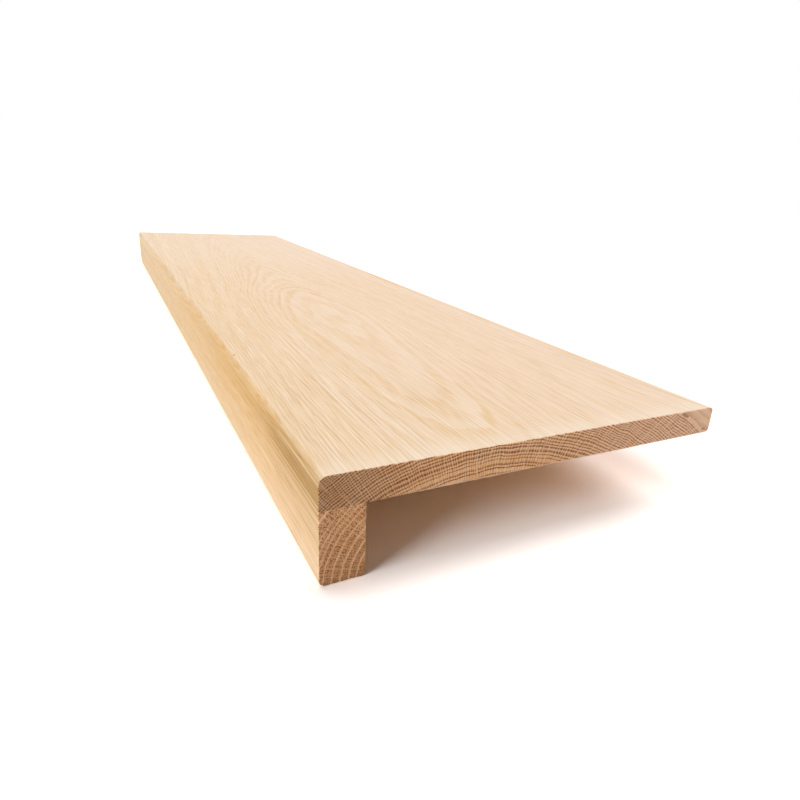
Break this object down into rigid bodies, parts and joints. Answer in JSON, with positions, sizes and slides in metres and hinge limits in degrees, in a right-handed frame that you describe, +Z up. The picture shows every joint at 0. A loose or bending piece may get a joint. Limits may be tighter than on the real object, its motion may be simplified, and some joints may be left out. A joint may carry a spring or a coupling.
{
  "type": "stair tread",
  "caption": "Long oak stair tread: a wide flat board with a rounded front edge and a deeper strip glued beneath it as a square nosing, to cap a step.",
  "frame": {"origin": "midway along the length and the depth, on the floor under the nosing strip", "axes": "+X along the nose, +Y from the nose to the back edge, +Z up out of the walking surface"},
  "size_m": [1.2192, 0.2922, 0.0635],
  "materials": {
    "oak": "sanded bare white oak, pale straw on the faces and browner on the sawn ends"
  },
  "bodies": {
    "root": {"tread_board": "oak", "nosing_strip": "oak"}
  },
  "joints": []
}
